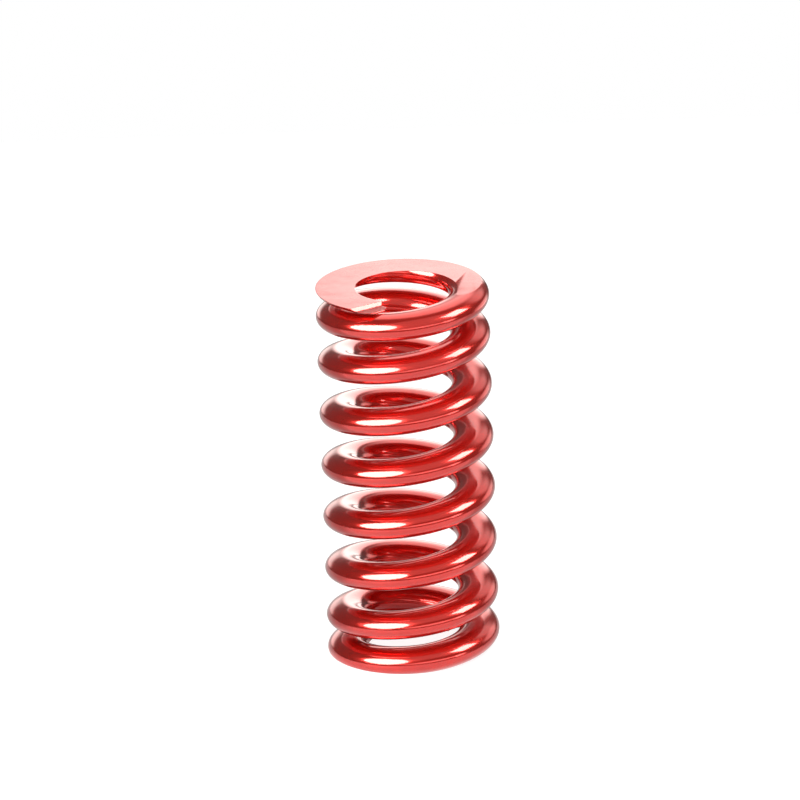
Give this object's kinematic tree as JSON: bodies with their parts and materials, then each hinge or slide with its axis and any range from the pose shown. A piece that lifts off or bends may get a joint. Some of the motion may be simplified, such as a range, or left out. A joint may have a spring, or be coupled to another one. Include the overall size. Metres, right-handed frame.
{
  "type": "die spring",
  "caption": "Right-hand coil compression spring of oval wire with closed, ground ends, painted red, for dies and moulds.",
  "frame": {"origin": "on the coil's axis, in the plane of the lower ground face", "axes": "+Z along the coil's axis, up to the upper ground face; the coil is right-handed; the upper tip of the wire lies 107 degrees clockwise of +X seen from above"},
  "size_m": [0.025, 0.025, 0.055],
  "materials": {
    "red_lacquer": "glossy red lacquer over spring steel"
  },
  "bodies": {
    "root": {"spring": "red_lacquer"}
  },
  "joints": []
}
